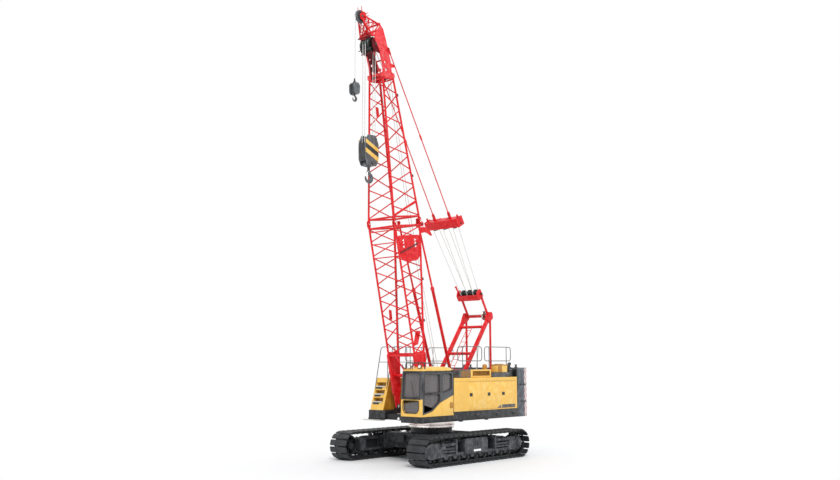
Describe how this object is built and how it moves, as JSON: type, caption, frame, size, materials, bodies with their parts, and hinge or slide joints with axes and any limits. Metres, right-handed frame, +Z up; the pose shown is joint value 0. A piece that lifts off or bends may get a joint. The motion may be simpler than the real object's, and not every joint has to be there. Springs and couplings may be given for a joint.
{
  "type": "crawler crane with a lattice boom",
  "caption": "Tracked crane with a slewing cab and machinery deck, raised lattice boom, luffing tackle on a gantry, counterweights and two hoist hooks.",
  "frame": {"origin": "on the floor under the centre of the whole crane's box", "axes": "+X forwards, the way the boom and cab face; +Y to the crane's left, the cab's side; +Z up"},
  "size_m": [8.3166, 4.61, 16.1372],
  "materials": {
    "red_paint": "gloss",
    "yellow_paint": "gloss",
    "slate_paint": "satin",
    "counterweight_paint": "satin",
    "charcoal_paint": "satin",
    "track_steel": "satin",
    "ring_steel": "brushed",
    "tinted_glass": "polished",
    "chair_fabric": "matte",
    "engine_iron": "matte",
    "drum_iron": "satin",
    "hook_paint": "satin",
    "wire_rope": "brushed",
    "rail_paint": "satin"
  },
  "bodies": {
    "undercarriage": {"car_body": "charcoal_paint", "slew_ring": "ring_steel", "left_track": "track_steel", "right_track": "track_steel", "left_track_frame": "charcoal_paint", "right_track_frame": "charcoal_paint", "left_sprocket": "track_steel", "right_sprocket": "track_steel", "left_idler": "track_steel", "right_idler": "track_steel"},
    "upperworks": {"deck_frame": "slate_paint", "cab_lower_panel": "yellow_paint", "cab_frame": "slate_paint", "cab_roof": "yellow_paint", "windscreen": "tinted_glass", "operator_chair": "chair_fabric", "left_hood": "yellow_paint", "right_hood": "yellow_paint", "engine": "engine_iron", "stair_box": "yellow_paint", "gantry": "red_paint", "counterweight_lower": "counterweight_paint", "counterweight_middle": "counterweight_paint", "counterweight_upper": "counterweight_paint", "intake_box": "yellow_paint", "mesh_box": "rail_paint", "filter_box": "yellow_paint", "left_handrail": "rail_paint", "right_handrail": "rail_paint", "stair_handrail": "rail_paint"},
    "boom": {"boom_base": "red_paint", "boom_top": "red_paint", "boom_head": "red_paint", "main_head_sheaves": "drum_iron", "auxiliary_tip": "red_paint"},
    "tackle_block": {"tackle_block": "red_paint"},
    "spreader": {"spreader": "red_paint"},
    "backstop_tubes": {"backstop_tubes": "red_paint"},
    "backstop_rods": {"backstop_rods": "red_paint"},
    "main_falls": {"main_hoist_rope": "wire_rope"},
    "main_hook": {"main_hook_block": "hook_paint", "main_hook": "hook_paint"},
    "auxiliary_fall": {"auxiliary_hoist_rope": "wire_rope"},
    "auxiliary_hook": {"auxiliary_hook": "hook_paint"},
    "cab_door": {"cab_door": "slate_paint", "cab_door_glass": "tinted_glass"},
    "main_winch": {"main_winch_drum": "drum_iron"},
    "auxiliary_winch": {"auxiliary_winch_drum": "drum_iron"},
    "luffing_winch": {"luffing_winch_drum": "drum_iron"},
    "left_door_front": {"left_hood_door_front": "yellow_paint"},
    "left_door_middle": {"left_hood_door_middle": "yellow_paint"},
    "left_door_rear": {"left_hood_door_rear": "yellow_paint"},
    "right_door_front": {"right_hood_door_front": "yellow_paint"},
    "right_door_rear": {"right_hood_door_rear": "yellow_paint"}
  },
  "joints": [
    {"name": "slew", "type": "hinge", "parent": "undercarriage", "child": "upperworks", "pos_m": [-0.10831, 0, 1.424], "axis": [0, 0, 1], "continuous": true},
    {"name": "boom_luff", "type": "hinge", "parent": "upperworks", "child": "boom", "pos_m": [1.03569, 0, 1.897], "axis": [0, 1, 0], "range_deg": [0, 52.3]},
    {"name": "tackle_swing", "type": "hinge", "parent": "upperworks", "child": "tackle_block", "pos_m": [-2.93831, 0, 5.38], "axis": [0, 1, 0], "range_deg": [0, 47.71]},
    {"name": "spreader_travel", "type": "slide", "parent": "tackle_block", "child": "spreader", "axis": [0.5091, 0, 0.8607], "range_m": [0, 4.538]},
    {"name": "backstop_swing", "type": "hinge", "parent": "upperworks", "child": "backstop_tubes", "pos_m": [-0.97831, 0, 2.2], "axis": [0, 1, 0], "range_deg": [0, 45.06]},
    {"name": "backstop_travel", "type": "slide", "parent": "backstop_tubes", "child": "backstop_rods", "axis": [0.3164, 0, 0.9486], "range_m": [0, 1.5185]},
    {"name": "main_falls_swing", "type": "hinge", "parent": "boom", "child": "main_falls", "pos_m": [3.28333, 0, 14.93844], "axis": [0, 1, 0], "range_deg": [-52.3, 0]},
    {"name": "main_hoist", "type": "slide", "parent": "main_falls", "child": "main_hook", "axis": [0, 0, 1], "range_m": [-2.8, 2.4], "deforming": ["main_hoist_rope"]},
    {"name": "auxiliary_fall_swing", "type": "hinge", "parent": "boom", "child": "auxiliary_fall", "pos_m": [3.75131, 0, 15.8994], "axis": [0, 1, 0], "range_deg": [-52.3, 0]},
    {"name": "auxiliary_hoist", "type": "slide", "parent": "auxiliary_fall", "child": "auxiliary_hook", "axis": [0, 0, 1], "range_m": [-3.2, 1.9], "deforming": ["auxiliary_hoist_rope"]},
    {"name": "cab_door_swing", "type": "hinge", "parent": "upperworks", "child": "cab_door", "pos_m": [1.36169, 1.7, 2.6], "axis": [0, 0, 1], "range_deg": [0, 95]},
    {"name": "left_door_front_swing", "type": "hinge", "parent": "upperworks", "child": "left_door_front", "pos_m": [-1.26531, 1.7, 2.3], "axis": [0, 0, 1], "range_deg": [0, 85]},
    {"name": "left_door_middle_swing", "type": "hinge", "parent": "upperworks", "child": "left_door_middle", "pos_m": [-2.15531, 1.7, 2.3], "axis": [0, 0, 1], "range_deg": [0, 85]},
    {"name": "left_door_rear_swing", "type": "hinge", "parent": "upperworks", "child": "left_door_rear", "pos_m": [-3.04531, 1.7, 2.3], "axis": [0, 0, 1], "range_deg": [0, 85]},
    {"name": "right_door_front_swing", "type": "hinge", "parent": "upperworks", "child": "right_door_front", "pos_m": [-1.78531, -1.7, 2.3], "axis": [0, 0, -1], "range_deg": [0, 85]},
    {"name": "right_door_rear_swing", "type": "hinge", "parent": "upperworks", "child": "right_door_rear", "pos_m": [-3.04531, -1.7, 2.3], "axis": [0, 0, -1], "range_deg": [0, 85]},
    {"name": "main_winch_turn", "type": "hinge", "parent": "upperworks", "child": "main_winch", "pos_m": [-0.16831, 0, 1.96], "axis": [0, 1, 0], "continuous": true},
    {"name": "auxiliary_winch_turn", "type": "hinge", "parent": "upperworks", "child": "auxiliary_winch", "pos_m": [-1.66831, 0, 1.99], "axis": [0, 1, 0], "continuous": true},
    {"name": "luffing_winch_turn", "type": "hinge", "parent": "upperworks", "child": "luffing_winch", "pos_m": [-2.35831, 0, 1.99], "axis": [0, 1, 0], "continuous": true}
  ],
  "couplings": [
    {"joint": "tackle_swing", "follows": "boom_luff", "ratio": 0.91225},
    {"joint": "spreader_travel", "follows": "boom_luff", "m_per_rad": 4.9714},
    {"joint": "backstop_swing", "follows": "boom_luff", "ratio": 0.86148},
    {"joint": "backstop_travel", "follows": "boom_luff", "m_per_rad": 1.6635},
    {"joint": "main_falls_swing", "follows": "boom_luff", "ratio": -1},
    {"joint": "auxiliary_fall_swing", "follows": "boom_luff", "ratio": -1}
  ]
}
